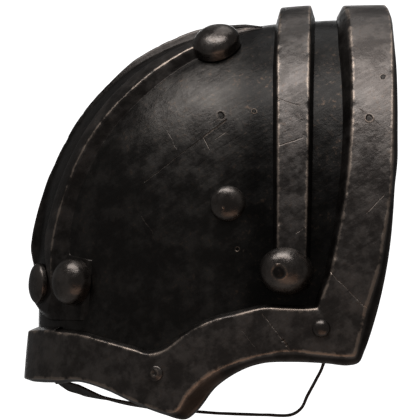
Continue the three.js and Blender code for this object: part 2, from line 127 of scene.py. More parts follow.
# Crest straps
STRAP_INNER = 8
STRAP_FLAT = 3.8
LIP_HIGH = 1.8
RIB_HIGH = 1.7
STRAP_FOOT = 0.1
PAD_HIGH = 1.3
CHANNEL_DEEP = 1.3
STRAP_BEVEL = 1.2
STRAP_STEPS = 340
STRAP_SLANT = 2
STRAP_ROWS = [
    # turn, the rib's far foot, arris and near foot, outer edge, then the shares of flat, rib, lip and pad
    (24.4, 10.4, 11.2, 12, 13, 0.1, 0, 1, 1),
    (27, 10.4, 11.2, 12, 13, 0.6, 0, 1, 1),
    (30.2, 10.4, 11.2, 12, 13.5, 0.9, 0, 1, 1),
    (31.2, 14, 18, 22, 26, 1, 0, 1.2, 1),
    (32.4, 20, 28, 32, 37, 1, 0, 1.4, 1),
    (34, 20.4, 30, 31.2, 32.4, 1, 0.3, 1.6, 1),
    (34.8, 20.7, 30.6, 31.5, 32.3, 1, 1, 1.7, 0),
    (36.9, 21, 31.2, 32, 32.8, 1, 1, 1.6, 0),
    (41, 23, 34, 35, 35.8, 1, 1, 1.3, 0),
    (45, 24.3, 36, 37, 37.8, 1, 1, 1, 0),
    (49, 25.4, 37.3, 38.2, 39, 0.84, 1.35, 0.6, 0),
    (53, 26.4, 37.6, 38.4, 39.2, 0.75, 1.56, 0.45, 0),
    (57, 27.2, 37.8, 38.6, 39.4, 0.7, 1.67, 0.4, 0),
    (62, 27.5, 37.7, 38.7, 39.5, 0.7, 1.67, 0.4, 0),
    (65.7, 27.5, 37.6, 38.8, 39.6, 0.85, 1.33, 0.6, 0),
    (68.5, 27, 37.1, 39, 39.8, 1, 1, 0.7, 0),
    (71.5, 26, 36.5, 39.3, 40.1, 1, 1, 1.25, 0),
    (75, 24.6, 35.8, 39.6, 40.6, 1, 1, 1.8, 0),
    (77, 25, 35.7, 39.4, 40.4, 1, 1, 1.9, 0.05),
    (77.8, 26, 35.7, 39.1, 41, 1, 0.95, 1.7, 0.1),
    (78.3, 26.6, 35.7, 38.9, 54, 1, 0.9, 1.4, 0.6),
    (79.8, 28.5, 35.8, 38.5, 54.3, 1, 0.75, 0.6, 1),
    (81.5, 31, 35.9, 38, 54.5, 1, 0.5, 0, 1),
    (84, 34.6, 36, 37.4, 54.5, 1, 0.1, 0, 1),
    (87.2, 22, 32, 42, 54.5, 1, 0, 0, 1),
    (88.4, 22, 32, 42, 52.5, 0.3, 0, 0, 1),
]

# Arm strap
LEATHER_WIDE = 11
LEATHER_THICK = 1.8
LEATHER_ROUTE = [
    # turn from the front to the arm end, z, distance inside the dome's outer surface, tilt of its face
    (27.2, -27, 4.1, 90),
    (26.8, -36, 4.9, 85),
    (26.5, -44, 8, 40),
    (26.7, -51, 11, 4),
    (27.8, -56.4, 12.6, 0),
    (30.1, -63, 15.1, 0),
    (33.1, -72.6, 17.3, 0),
    (35.4, -80, 19.2, 0),
    (38.7, -83.8, 20.9, 0),
    (46.4, -84, 23.5, 0),
    (53.4, -83.7, 25.1, 0),
    (61.3, -82.6, 25.8, 0),
    (68.6, -80.6, 25.2, 6),
    (73.6, -77.6, 22.1, 8),
    (76.6, -74.4, 18.1, 4),
    (79.9, -70, 13.2, 28),
    (83.2, -66.5, 10, 24),
    (86.7, -60, 7.1, 8),
    (88.9, -50, 5.4, 0),
    (89.5, -38, 5.4, 0),
]

# Rivets: place, half sizes, the level that they sit on, skirt and crown
FRONT_RIVETS = {
    "band_stud": dict(x=-4.2, z=1.8, wide=16, high=14.4, seat=0, skirt=4.5, crown=13),
    "middle_stud": dict(x=-38.4, z=41.4, wide=10.8, high=10.8, seat=0, skirt=0.8, crown=5.6),
}
RIM_RIVETS = {
    "corner_rivet": dict(x=16.8, z=-32.4, wide=5.4, high=5.4, seat=RIM_PROUD, skirt=0.5, crown=3.4),
    "ring_rivet": dict(x=-81.6, z=-59.4, wide=4.6, high=4.6, seat=RIM_PROUD, skirt=0.5, crown=1.3),
}
CREST_RIVETS = {
    "crest_rivet_top": dict(turn=32.2, y=28.6, wide=14.3, high=14.6, seat=PAD_HIGH, skirt=2.8, crown=9),
    "crest_rivet_outer": dict(turn=82.2, y=47.6, wide=12.6, high=14, seat=PAD_HIGH, skirt=3, crown=10.4),
    "crest_rivet_inner": dict(turn=82.6, y=20.4, wide=11, high=12, seat=STRAP_FLAT, skirt=1.0, crown=3.8),
}


def lattice(i, j, k, seed):
    h = (i * 374761393 + j * 668265263 + k * 1440662683 + seed * 1274126177) & 0xFFFFFFFF
    h = ((h ^ (h >> 13)) * 1274126177) & 0xFFFFFFFF
    return ((h ^ (h >> 16)) & 0xFFFF) / 32767.5 - 1


def noise(p, size, seed=0):
    """Smooth noise from -1 to 1 that changes over about size millimetres."""
    q = np.asarray(p) / size
    base = np.floor(q).astype(np.int64)
    f = q - base
    f = f * f * (3 - 2 * f)
    total = 0
    for dx in (0, 1):
        for dy in (0, 1):
            for dz in (0, 1):
                weight = np.abs(1 - dx - f[..., 0]) * np.abs(1 - dy - f[..., 1]) * np.abs(1 - dz - f[..., 2])
                corner = base + np.array([dx, dy, dz])
                total = total + weight * lattice(corner[..., 0], corner[..., 1], corner[..., 2], seed)
    return total


def outside(p, lift):
    """Below zero inside the dome's surface raised by lift, above zero outside."""
    x, y, z = p[..., 0], p[..., 1], p[..., 2]
    half = DOME_DEPTH + GROW_TO_NECK * (x - DEPTH_X) - GROW_DOWN * (z - DEPTH_Z)
    reach = np.abs(DOME_X - x) / (DOME_REACH + lift)
    rise = np.maximum(0, z - DOME_Z) / (DOME_RISE + lift)
    return reach**DOME_POWER + rise**DOME_POWER + (y / (half + lift)) ** 2 - 1


def crossing(start, way, lift, near=0.0, far=400.0):
    """Where lines cross the dome's surface raised by lift."""
    start, way, lift = np.broadcast_arrays(start, way, np.asarray(lift)[..., None])
    lift = lift[..., 0]
    near = np.full(lift.shape, near)
    far = np.full(lift.shape, far)
    for _ in range(34):
        middle = (near + far) / 2
        inside = outside(start + way * middle[..., None], lift) < 0
        near = np.where(inside, middle, near)
        far = np.where(inside, far, middle)
    return start + way * near[..., None]


def stack(*parts):
    return np.stack(np.broadcast_arrays(*[np.asarray(v, float) for v in parts]), axis=-1)


def front(x, z, lift):
    return crossing(stack(x, 0, z), np.array([0.0, -1, 0]), lift)


def over(x, turn, lift):
    a = np.radians(turn)
    return crossing(stack(x, 0, DOME_Z), stack(0, -np.cos(a), np.sin(a)), lift)


def around(turn, z, lift):
    a = np.radians(turn)
    return crossing(stack(DOME_X, 0, z), stack(-np.sin(a), -np.cos(a), 0), lift)


def normals(p):
    n = np.zeros(p.shape)
    for axis in range(3):
        step = np.zeros(3)
        step[axis] = 0.01
        n[..., axis] = outside(p + step, 0) - outside(p - step, 0)
    return n / np.linalg.norm(n, axis=-1, keepdims=True)


def settle(p, lift):
    return crossing(p, normals(p), lift, -30, 30)


def along(turn, y, lift):
    a = np.radians(turn)
    ridge = crossing(stack(DOME_X, 0, DOME_Z), stack(-np.sin(a), 0, np.cos(a)), 0)
    way = normals(ridge)
    start = stack(ridge[..., 0], y, ridge[..., 2])
    return crossing(start, np.broadcast_to(way, start.shape), lift, -80, 80)


def smooth_curve(points, steps, closed):
    """A centripetal Catmull-Rom curve through points of any width, its samples shared evenly between them."""
    p = np.asarray(points, float)
    n = len(p)
    spans = n if closed else n - 1
    u = np.arange(steps) / (steps if closed else steps - 1) * spans
    i = np.minimum(np.floor(u).astype(int), spans - 1)
    t = (u - i)[:, None]
    if closed:
        a, b, c, d = p[(i - 1) % n], p[i % n], p[(i + 1) % n], p[(i + 2) % n]
    else:
        before = 2 * p[0] - p[1]
        after = 2 * p[-1] - p[-2]
        q = np.vstack([before, p, after])
        a, b, c, d = q[i], q[i + 1], q[i + 2], q[i + 3]
    ab = np.maximum(np.linalg.norm(b - a, axis=1) ** 0.5, 1e-4)[:, None]
    bc = np.maximum(np.linalg.norm(c - b, axis=1) ** 0.5, 1e-4)[:, None]
    cd = np.maximum(np.linalg.norm(d - c, axis=1) ** 0.5, 1e-4)[:, None]
    m1 = (c - b) + bc * ((b - a) / ab - (c - a) / (ab + bc))
    m2 = (c - b) + bc * ((d - c) / cd - (d - b) / (bc + cd))
    return (
        (2 * b - 2 * c + m1 + m2) * t**3
        + (-3 * b + 3 * c - 2 * m1 - m2) * t**2
        + m1 * t
        + b
    )


def make_mesh(name, points, wear_and_shading, closed_rows=False, caps=False):
    """A mesh from a grid of points (rows, loop, 3), with the wear and painted shading of each point as an
    attribute.
    """
    rows, loop = points.shape[:2]
    index = np.arange(rows * loop).reshape(rows, loop)
    a = index if closed_rows else index[:-1]
    b = np.roll(index, -1, axis=0) if closed_rows else index[1:]
    quads = np.stack([a, b, np.roll(b, -1, axis=1), np.roll(a, -1, axis=1)], axis=-1).reshape(-1, 4)
    faces = quads.tolist()
    if caps:
        half = loop // 2
        for row, flip in ((index[0], False), (index[-1], True)):
            for j in range(half - 1):
                face = [row[j], row[j + 1], row[loop - 2 - j], row[loop - 1 - j]]
                faces.append(face[::-1] if flip else face)
    mesh = bpy.data.meshes.new(name)
    mesh.from_pydata((points.reshape(-1, 3) * MM).tolist(), [], faces)
    mesh.validate()
    layer = mesh.attributes.new("wear_and_shading", "FLOAT", "POINT")
    layer.data.foreach_set("value", np.asarray(wear_and_shading, np.float32).reshape(-1))
    mesh.shade_smooth()
    obj = bpy.data.objects.new(name, mesh)
    bpy.context.scene.collection.objects.link(obj)
    return obj


def tidy_mesh(obj):
    """Joins points that meet and turns every face outwards."""
    bm = bmesh.new()
    bm.from_mesh(obj.data)
    bmesh.ops.remove_doubles(bm, verts=bm.verts, dist=1e-6)
    bmesh.ops.recalc_face_normals(bm, faces=bm.faces)
    bm.to_mesh(obj.data)
    bm.free()
    return obj


def place(obj, slot, material, *nodes):
    obj.data.materials.append(material)
    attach(obj, "root")
    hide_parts(*nodes)
    return obj


def dents(p, deep):
    return deep * (noise(p, 34, 3) + 0.6 * noise(p, 15, 4) + 0.35 * noise(p, 7, 5))


def spread(count, power):
    """Shares from 0 to 1, closer together near both ends."""
    t = np.linspace(0, 1, count)
    return (1 - power) * t + power * (0.5 - 0.5 * np.cos(np.pi * t))


def ease(x, low, high):
    t = np.clip((x - low) / (high - low), 0, 1)
    return t * t * (3 - 2 * t)


def soften(points, times):
    """Rounds the corners of each row of a closed loop."""
    for _ in range(times):
        points = (np.roll(points, 1, axis=1) + 2 * points + np.roll(points, -1, axis=1)) / 4
    return points


def rim_lines(rows):
    """The rim's long lines: inner arris, outer arris, edge, base and foot, sampled over the whole loop."""
    key = {name: [] for name in ("inner", "outer", "edge", "base", "foot")}
    for turn, inner, outer, edge, foot in RIM_OVER:
        key["inner"].append(over(inner, turn, RIM_PROUD))
        key["outer"].append(over(outer, turn, RIM_PROUD))
        key["edge"].append(over(edge, turn, RIM_EDGE))
        key["base"].append(over(edge, turn, 0))
        key["foot"].append(over(inner - foot, turn, 0))
    for ix, iz, ox, oz, ex, ez, foot in RIM_FRONT:
        way = np.array([ox - ix, oz - iz])
        way = way / np.linalg.norm(way)
        key["inner"].append(front(ix, iz, RIM_PROUD))
        key["outer"].append(front(ox, oz, RIM_PROUD))
        key["edge"].append(front(ex, ez, RIM_EDGE))
        key["base"].append(front(ex, ez, 0))
        key["foot"].append(front(ix - way[0] * foot, iz - way[1] * foot, 0))
    for turn, inner, outer, edge in RIM_ARM:
        key["inner"].append(around(turn, inner, RIM_PROUD))
        key["outer"].append(around(turn, outer, RIM_PROUD))
        key["edge"].append(around(turn, edge, RIM_EDGE))
        key["base"].append(around(turn, edge, 0))
        key["foot"].append(around(turn, inner + ARM_FOOT, 0))
    lines = {}
    for name, points in key.items():
        points = np.array(points)
        back = points[1:-1][::-1] * np.array([1, -1, 1])
        lines[name] = smooth_curve(np.vstack([points, back]), rows, True)
    return lines


def band_loop(stretches):
    """Rows of a closed section. Each stretch is (start line, end line, start lift, end lift, count)."""
    parts = []
    for a, b, lift_a, lift_b, count in stretches:
        t = spread(count, 0.8)[:-1]
        p = a[:, None] * (1 - t)[:, None] + b[:, None] * t[:, None]
        rows = np.ones(len(a))
        parts.append(settle(p, np.outer(lift_a * rows, 1 - t) + np.outer(lift_b * rows, t)))
    return np.concatenate(parts, axis=1)


def arris_wear(points, lines, reach):
    """One near the given arris lines, fading over reach millimetres."""
    wear_and_shading = np.zeros(points.shape[:2])
    for line, strength in lines:
        d = np.linalg.norm(points - line[:, None, :], axis=2)
        wear_and_shading = np.maximum(wear_and_shading, strength * np.exp(-((d / reach) ** 2)))
    return wear_and_shading


def paint_shade(wear_and_shading, columns, amount=1.0):
    """Painted shade: the wear goes below zero on the given columns, away from rubbed arrises, so those faces
    render darker.
    """
    painted_shade = wear_and_shading.copy()
    painted_shade[:, columns] = wear_and_shading[:, columns] - amount * np.maximum(0, 1 - 2 * wear_and_shading[:, columns])
    return painted_shade


def close_ends(points, wear_and_shading):
    """Draws both ends of a closed section in to nearly a point."""
    middle = points.mean(axis=1, keepdims=True)
    drawn = middle + (points - middle) * 0.02
    return (
        np.concatenate([drawn[:1], points, drawn[-1:]], axis=0),
        np.concatenate([wear_and_shading[:1], wear_and_shading, wear_and_shading[-1:]], axis=0),
    )


def batter(points, wear_and_shading, seed):
    """Makes a forged band uneven: a slow waver, and nicks along its worn arrises."""
    n = normals(points)
    waver = 0.18 * noise(points, 26, seed) + 0.09 * noise(points, 9, seed + 1) - 0.2
    nick = ease(noise(points, 5, seed + 2), 0.35, 0.8) * wear_and_shading * 0.7
    return points + n * (waver - nick)[..., None]


def rim_band(material):
    lines = rim_lines(RIM_ROWS)
    proud = RIM_PROUD - ARM_LEAN * ease(-lines["inner"][:, 0], 110, 150)
    inner = settle(lines["inner"], proud)
    outer = settle(lines["outer"], RIM_PROUD)
    edge = settle(lines["edge"], RIM_EDGE)
    base = settle(lines["base"], 0)
    lip = settle(lines["base"], LIP_LEVEL)
    way = lines["foot"] - lines["base"]
    way = way / np.linalg.norm(way, axis=1, keepdims=True)
    turned = settle(lines["base"] + way * LIP_REACH, LIP_LEVEL)
    tucked = settle(lines["base"] + way * LIP_REACH, TUCK_LEVEL)
    foot = settle(lines["foot"], BAND_SUNK)
    points = band_loop(
        [
            (foot, inner, BAND_SUNK, proud, 8),
            (inner, outer, proud, RIM_PROUD, 16),
            (outer, edge, RIM_PROUD, RIM_EDGE, 8),
            (edge, base, RIM_EDGE, 0, 4),
            (base, lip, 0, LIP_LEVEL, 3),
            (lip, turned, LIP_LEVEL, LIP_LEVEL, 4),
            (turned, tucked, LIP_LEVEL, TUCK_LEVEL, 2),
            (tucked, foot, TUCK_LEVEL, BAND_SUNK, 4),
        ]
    )
    wear_and_shading = arris_wear(points, [(inner, 0.9), (outer, 1.0), (edge, 0.4)], 1.5)
    points = soften(batter(points, wear_and_shading, 11), 2)
    # Painted shade on the inner bevel, and on the outer bevel, the edge and the underside; the flat face and
    # the arrises are spared.
    wear_and_shading = paint_shade(paint_shade(wear_and_shading, slice(0, 7), 0.8), slice(22, None))
    obj = make_mesh("rim", points, wear_and_shading, closed_rows=True)
    return place(tidy_mesh(obj), "rim_steel", material, "rim_band")


def dome_shell(material):
    """Rows run from the arm end to the neck edge, each from the bottom front over to the bottom back."""
    lines = rim_lines(RIM_ROWS)
    base = lines["base"][: RIM_ROWS // 2 + 1]
    high = base[base[:, 2] > DOME_Z - 2]
    high = high[high[:, 0] > 0]
    turn_of = np.degrees(np.arctan2(high[:, 2] - DOME_Z, -high[:, 1]))
    order = np.argsort(turn_of)
    low = base[base[:, 2] < DOME_Z + 2]
    by_x = np.argsort(low[:, 0])
    shares = spread(130, 0.35)
    end = DOME_X - DOME_REACH
    sheets = []
    for lift in (0, -PLATE):
        pole = end - lift + POLE_SHORT
        turns = np.linspace(0, 90, 75)
        neck = np.interp(turns, turn_of[order], high[order, 0]) - UNDER_RIM
        x = pole + shares[:, None] * (neck - pole)[None, :]
        arch = over(x, np.broadcast_to(turns, x.shape), lift)
        strip_x = x[:, 0]
        bottom = np.interp(strip_x, low[by_x, 0], low[by_x, 2]) + UNDER_RIM
        t = np.linspace(1, 0, 22)[:-1]
        z = DOME_Z + t[None, :] * (bottom - DOME_Z)[:, None]
        strip = front(np.broadcast_to(strip_x[:, None], z.shape), z, lift)
        half = np.concatenate([strip, arch], axis=1)
        whole = np.concatenate([half, half[:, -2::-1] * np.array([1, -1, 1])], axis=1)
        sheets.append(whole)
    outer, inner = sheets
    n = normals(outer)
    deep = dents(outer, DENT_DEEP)
    outer = outer + n * deep[..., None]
    inner = inner + n * deep[..., None]
    loop = np.concatenate([outer, inner[:, ::-1]], axis=1)
    # The caps close the plate's thickness at both ends. The first row stops short of the dome's far end, so a
    # slit about 3 mm wide stays open at the middle of the arm end.
    obj = make_mesh("shell", loop, np.zeros(loop.shape[:2]), caps=True)
    return place(tidy_mesh(obj), "dome_steel", material, "dome_shell")


def inner_band(material):
    start = front(0, BAND_END, 0)
    first = math.degrees(math.atan2(start[2] - DOME_Z, -start[1]))
    share = np.concatenate([np.linspace(0, 1, BAND_ROWS // 2), np.linspace(1, 0, BAND_ROWS // 2)[1:]])
    side = np.where(np.arange(len(share)) < BAND_ROWS // 2, 1.0, -1.0)
    turn = first + (90 - first) * share
    distance = np.minimum(np.arange(len(share)), np.arange(len(share))[::-1]) * 0.72
    pinch = 4 - np.sqrt(np.maximum(0, 16 - np.maximum(0, 4 - distance) ** 2))
    drop = 3 * np.maximum(0, 1 - distance / 3)
    left = BAND_LEFT + (BAND_LEFT_TOP - BAND_LEFT) * np.maximum(0, share * 4 - 3) + pinch
    right = BAND_RIGHT_LOW + (BAND_RIGHT_TOP - BAND_RIGHT_LOW) * share - pinch
    mirror = stack(1, side, 1)

    def line(x, lift):
        return over(x, turn, lift) * mirror

    proud = BAND_PROUD - drop
    top_left = line(left, proud)
    top_right = line(right, proud)
    foot_left = line(left - BAND_BEVEL, BAND_SUNK)
    foot_right = line(right + BAND_BEVEL, BAND_SUNK)
    points = band_loop(
        [
            (foot_left, top_left, BAND_SUNK, proud, 9),
            (top_left, top_right, proud, proud, 14),
            (top_right, foot_right, proud, BAND_SUNK, 9),
            (foot_right, foot_left, BAND_SUNK, BAND_SUNK, 5),
        ]
    )
    wear_and_shading = arris_wear(points, [(top_left, 0.95), (top_right, 0.95)], 1.5)
    points = soften(batter(points, wear_and_shading, 21), 2)
    # Painted shade on both bevels and the underside; the top face and its arrises are spared.
    wear_and_shading = paint_shade(paint_shade(wear_and_shading, slice(0, 8)), slice(21, None))
    points, wear_and_shading = close_ends(points, wear_and_shading)
    obj = make_mesh("shoulder_band", points, wear_and_shading)
    return place(tidy_mesh(obj), "band_steel", material, "inner_band")


def crest_strap(name, side, material):
    table = np.array(STRAP_ROWS, float)
    turn = np.linspace(table[0, 0], table[-1, 0], STRAP_STEPS)
    far, arris, near, outer, rise, rib, lip, pad = (np.interp(turn, table[:, 0], c) for c in table.T[1:])
    window = np.ones(13) / 13
    inside = (turn > 36) & (turn < 82)
    for line in (far, arris, near):
        line[inside] = np.convolve(np.pad(line, 6, "edge"), window, "valid")[inside]
    outer = np.where(inside & (pad == 0), near + 0.4, outer)
    inner = np.full(turn.shape, float(STRAP_INNER))
    bevel = 0.2 + (STRAP_BEVEL - 0.2) * pad
    flat = STRAP_FLAT * rise
    brim = STRAP_FOOT + (PAD_HIGH * rise - STRAP_FOOT) * pad
    channel = flat - CHANNEL_DEEP * np.minimum(rib, 1)
    step = flat + 0.45 * RIB_HIGH * rib
    keys = [
        (inner, 0 * flat + STRAP_SUNK),
        (inner + 1.4, flat + LIP_HIGH * lip * rise),
        (inner + 4, channel),
        (far, channel),
        (far + 1.2, step),
        (arris, flat + RIB_HIGH * rib),
        (near, brim),
        (outer - bevel, brim),
        (outer, 0 * flat + STRAP_SUNK),
    ]
    y, lift = [], []
    for (y0, h0), (y1, h1), count in zip(keys, keys[1:], (6, 6, 7, 5, 10, 8, 8, 6)):
        t = spread(count, 0.6)[:-1][None, :]
        y.append(y0[:, None] * (1 - t) + y1[:, None] * t)
        lift.append(h0[:, None] * (1 - t) + h1[:, None] * t)
    y = np.concatenate(y + [outer[:, None]], axis=1)
    lift = np.concatenate(lift + [np.full((len(turn), 1), STRAP_SUNK)], axis=1)
    at = turn[:, None] - STRAP_SLANT * ease(turn, 80, 88.4)[:, None] * np.clip((30 - y) / 22, 0, 1)
    top = along(at, side * y, lift)
    low = along(at, side * y, STRAP_SUNK - 0.01 * np.minimum(y - inner[:, None], outer[:, None] - y))
    arrises = [(along(turn, side * line, height), strength) for line, height, strength in (
        (arris, flat + RIB_HIGH * rib, 1.0),
        (inner + 1.4, flat + LIP_HIGH * lip, 0.75),
        (outer - bevel, brim, 0.5),
    )]
    wear_and_shading = arris_wear(top, arrises[:1], 0.8) * np.minimum(rib, 1)[:, None]
    wear_and_shading = np.maximum(wear_and_shading, arris_wear(top, arrises[1:2], 1.0))
    wear_and_shading = np.maximum(wear_and_shading, arris_wear(top, arrises[2:], 0.8) * pad[:, None])
    n = normals(top)
    waver = 0.22 * noise(top, 22, 31) + 0.1 * noise(top, 8, 32)
    nick = ease(noise(top, 5, 33), 0.35, 0.8) * wear_and_shading * 0.5
    top = top + n * (waver - nick)[..., None]
    loop = soften(np.concatenate([top, low[:, ::-1]], axis=1), 1)
    # Painted shade on the inner lip, the channel and the rib's far step, and lighter painted shade on the
    # near flank, the pad and the outer bevel.
    wear_and_shading = paint_shade(paint_shade(wear_and_shading, slice(0, 20), 0.75), slice(29, None), 0.4)
    # The rib's rising face takes a little more of the rubbed colour: part wear, part painted light on the
    # face that catches the light.
    wear_and_shading[:, 20:29] += 0.14
    wear_and_shading = np.concatenate([wear_and_shading, np.zeros(low.shape[:2])], axis=1)
    obj = make_mesh(f"strap_{name}", loop, wear_and_shading, caps=True)
    return place(tidy_mesh(obj), "strap_steel", material, f"crest_strap_{name}")


def rivet_mesh(name, centre, way, high, wide, seat, skirt, crown, seed, ring=0.0):
    """A domed head with a hammered top, whose underside follows the surface that it sits on."""
    way = np.asarray(way, float)
    long = np.array([0, 0, 1.0]) - way * way[2]
    long = long / np.linalg.norm(long)
    side = np.cross(way, long)
    foot = crossing(np.asarray(centre, float), way, seat, -60, 60)
    a = np.arange(72) / 72 * 2 * np.pi
    b = np.linspace(0, 1, 26)[1:]
    r = np.sin(b * np.pi / 2)
    height = skirt + crown * np.cos(b * np.pi / 2)
    if ring:
        reach = r * wide
        hole = 0.45 * np.exp(-((reach / (ring * 0.55)) ** 2))
        height = height - hole + 0.25 * np.exp(-(((reach - ring) / 0.9) ** 2))
    cos, sin = np.cos(a)[None, :], np.sin(a)[None, :]
    flat = foot + long * (cos * r[:, None] * high)[..., None] + side * (sin * r[:, None] * wide)[..., None]
    top = flat + way * height[:, None, None]
    rim = flat[-1]
    seated = crossing(rim, np.broadcast_to(way, rim.shape), seat + STRAP_SUNK, -60, 60)
    lower = [rim * (1 - s) + seated * s + way * skirt * (1 - s) for s in (0.35, 0.7, 1.0)]
    points = np.concatenate([top, np.array(lower)], axis=0)
    bump = 0.12 * noise(points, 5, seed) + 0.2 * noise(points, 11, seed + 1)
    points = points + way * bump[..., None]
    tip = foot + way * (height[0] + bump[0].mean())
    points = np.concatenate([np.broadcast_to(tip, (1, 72, 3)), points], axis=0)
    reach = np.concatenate([[0], r, [1, 1, 1]]) * wide
    worn = 0.22 * np.exp(-((reach / (wide * 0.5)) ** 2))
    if ring:
        worn = worn + 0.9 * np.exp(-(((reach - ring) / 0.9) ** 2))
    wear_and_shading = np.broadcast_to(worn[:, None], points.shape[:2])
    return tidy_mesh(make_mesh(name, points, wear_and_shading))


def rivets(material):
    for label, side in SIDES.items():
        seed = 40
        for table, rings in ((FRONT_RIVETS, {}), (RIM_RIVETS, {"ring_rivet": 2.1}), (CREST_RIVETS, {})):
            for kind, r in table.items():
                seed += 2
                if "turn" in r:
                    p = along(r["turn"], side * r["y"], r["seat"])
                    way = normals(p)
                elif table is RIM_RIVETS:
                    p = front(r["x"], r["z"], r["seat"]) * np.array([1, -side, 1])
                    way = normals(p)
                else:
                    p, way = (r["x"], side * 100, r["z"]), (0, side, 0)
                obj = rivet_mesh(
                    f"{kind}_head_{label}", p, way, r["high"], r["wide"], r["seat"],
                    r["skirt"], r["crown"], seed, rings.get(kind, 0),
                )
                place(obj, "rivet_steel", material, f"{kind}_{label}")


def arm_strap(material):
    route = np.array(LEATHER_ROUTE, float)
    path = smooth_curve(around(route[:, 0], route[:, 1], -route[:, 2]), 260, False)
    u = np.linspace(0, len(route) - 1, 260)
    tilt = np.radians(np.interp(u, np.arange(len(route)), route[:, 3]))[:, None]
    way = np.gradient(path, axis=0)
    way = way / np.linalg.norm(way, axis=1, keepdims=True)
    deep = np.array([0, -1.0, 0]) + way * way[:, 1:2]
    deep = deep / np.linalg.norm(deep, axis=1, keepdims=True)
    turned = np.cross(way, deep)
    across = deep * np.cos(tilt) + turned * np.sin(tilt)
    up = np.cross(across, way)
    half = LEATHER_WIDE / 2
    thin = LEATHER_THICK / 2
    a = np.linspace(0, 2 * np.pi, 28, endpoint=False)
    s = np.sign(np.cos(a)) * np.abs(np.cos(a)) ** 0.35 * half
    t = np.sign(np.sin(a)) * np.abs(np.sin(a)) ** 0.5 * thin
    points = path[:, None] + across[:, None] * s[None, :, None] + up[:, None] * t[None, :, None]
    points = points + 0.12 * noise(points, 9, 61)[..., None] * up[:, None]
    wear_and_shading = np.broadcast_to(np.exp(-(((half - np.abs(s)) / 0.7) ** 2)), points.shape[:2])
    points, wear_and_shading = close_ends(points, wear_and_shading)
    obj = make_mesh("leather_strap", points, wear_and_shading)
    return place(tidy_mesh(obj), "leather", material, "arm_strap")


# Materials
class Nodes:
    """A short way to add and join shader nodes."""

    def __init__(self, tree):
        self.tree = tree

    def add(self, kind, inputs=None, **settings):
        node = self.tree.nodes.new(kind)
        for key, value in settings.items():
            setattr(node, key, value)
        for key, value in (inputs or {}).items():
            self.put(node.inputs[key], value)
        return node

    def put(self, socket, value):
        if isinstance(value, bpy.types.NodeSocket):
            self.tree.links.new(value, socket)
        else:
            socket.default_value = value

    def math(self, operation, a, b=0.0, clamp=False):
        node = self.add("ShaderNodeMath", operation=operation, use_clamp=clamp)
        self.put(node.inputs[0], a)
        self.put(node.inputs[1], b)
        return node.outputs[0]

    def vector(self, operation, a, b=(0, 0, 0)):
        node = self.add("ShaderNodeVectorMath", operation=operation)
        self.put(node.inputs[0], a)
        self.put(node.inputs[1], b)
        return node.outputs["Value"] if operation in ("LENGTH", "DOT_PRODUCT") else node.outputs["Vector"]

    def ramp(self, value, low, high, to_low=0.0, to_high=1.0):
        node = self.add("ShaderNodeMapRange", interpolation_type="SMOOTHSTEP")
        self.put(node.inputs["Value"], value)
        self.put(node.inputs["From Min"], low)
        self.put(node.inputs["From Max"], high)
        self.put(node.inputs["To Min"], to_low)
        self.put(node.inputs["To Max"], to_high)
        return node.outputs["Result"]

    def noise(self, where, scale, detail=4.0, rough=0.55):
        node = self.add("ShaderNodeTexNoise", {"Scale": scale, "Detail": detail, "Roughness": rough})
        self.put(node.inputs["Vector"], where)
        return node.outputs["Fac"]

    def mix(self, share, a, b):
        node = self.add("ShaderNodeMix", data_type="RGBA")
        self.put(node.inputs[0], share)
        self.put(node.inputs[6], a)
        self.put(node.inputs[7], b)
        return node.outputs[2]


def scratch_group():
    """A node group: how near a place is to a line, one on the line and zero past its half width."""
    group = bpy.data.node_groups.new("scratch", "ShaderNodeTree")
    for name in ("place", "start", "run"):
        group.interface.new_socket(name, in_out="INPUT", socket_type="NodeSocketVector")
    group.interface.new_socket("half", in_out="INPUT", socket_type="NodeSocketFloat")
    group.interface.new_socket("mask", in_out="OUTPUT", socket_type="NodeSocketFloat")
    n = Nodes(group)
    given = n.add("NodeGroupInput")
    result = n.add("NodeGroupOutput")
    from_start = n.vector("SUBTRACT", given.outputs["place"], given.outputs["start"])
    length = n.vector("DOT_PRODUCT", given.outputs["run"], given.outputs["run"])
    share = n.math("DIVIDE", n.vector("DOT_PRODUCT", from_start, given.outputs["run"]), length, clamp=True)
    scaled = n.add("ShaderNodeVectorMath", operation="SCALE")
    n.put(scaled.inputs[0], given.outputs["run"])
    n.put(scaled.inputs["Scale"], share)
    away = n.vector("LENGTH", n.vector("SUBTRACT", from_start, scaled.outputs["Vector"]))
    mask = n.math("SUBTRACT", 1.0, n.math("DIVIDE", away, given.outputs["half"]), clamp=True)
    n.put(result.inputs["mask"], mask)
    return group


# Marks on the front, as x and z of both ends, half width in millimetres and strength.
MARKS = {
    "dome": [
        (-39.6, 91.2, -53, 81.3, 0.6, 1.0),
        (-53, 81.3, -88, 54.6, 0.3, 0.6),
        (-52.8, 81, -49.2, 74, 0.4, 0.8),
        (-75, 86, -69, 74, 0.25, 0.3),
        (-90, 34, -83, 24, 0.4, 0.35),
        (-46, 80, -40, 84, 0.4, 0.4),
    ],
    "rim": [
        (-18, -24, -4, -42, 0.45, 0.8),
        (-5, -40, -2, -45, 0.9, 1.2),
        (22, 1, 44, -21, 0.5, 0.8),
        (40, 98, 52, 88, 0.35, 0.4),
        (44, 36, 54, 47, 0.4, 0.5),
        (-30, -34, -22, -44, 0.4, 0.4),
    ],
    "band": [
        (-8, 76, 6, 81, 0.5, 0.5),
        (-9, 104, 4, 100, 0.4, 0.4),
        (2, 24, 8, 28, 0.4, 0.4),
    ],
}
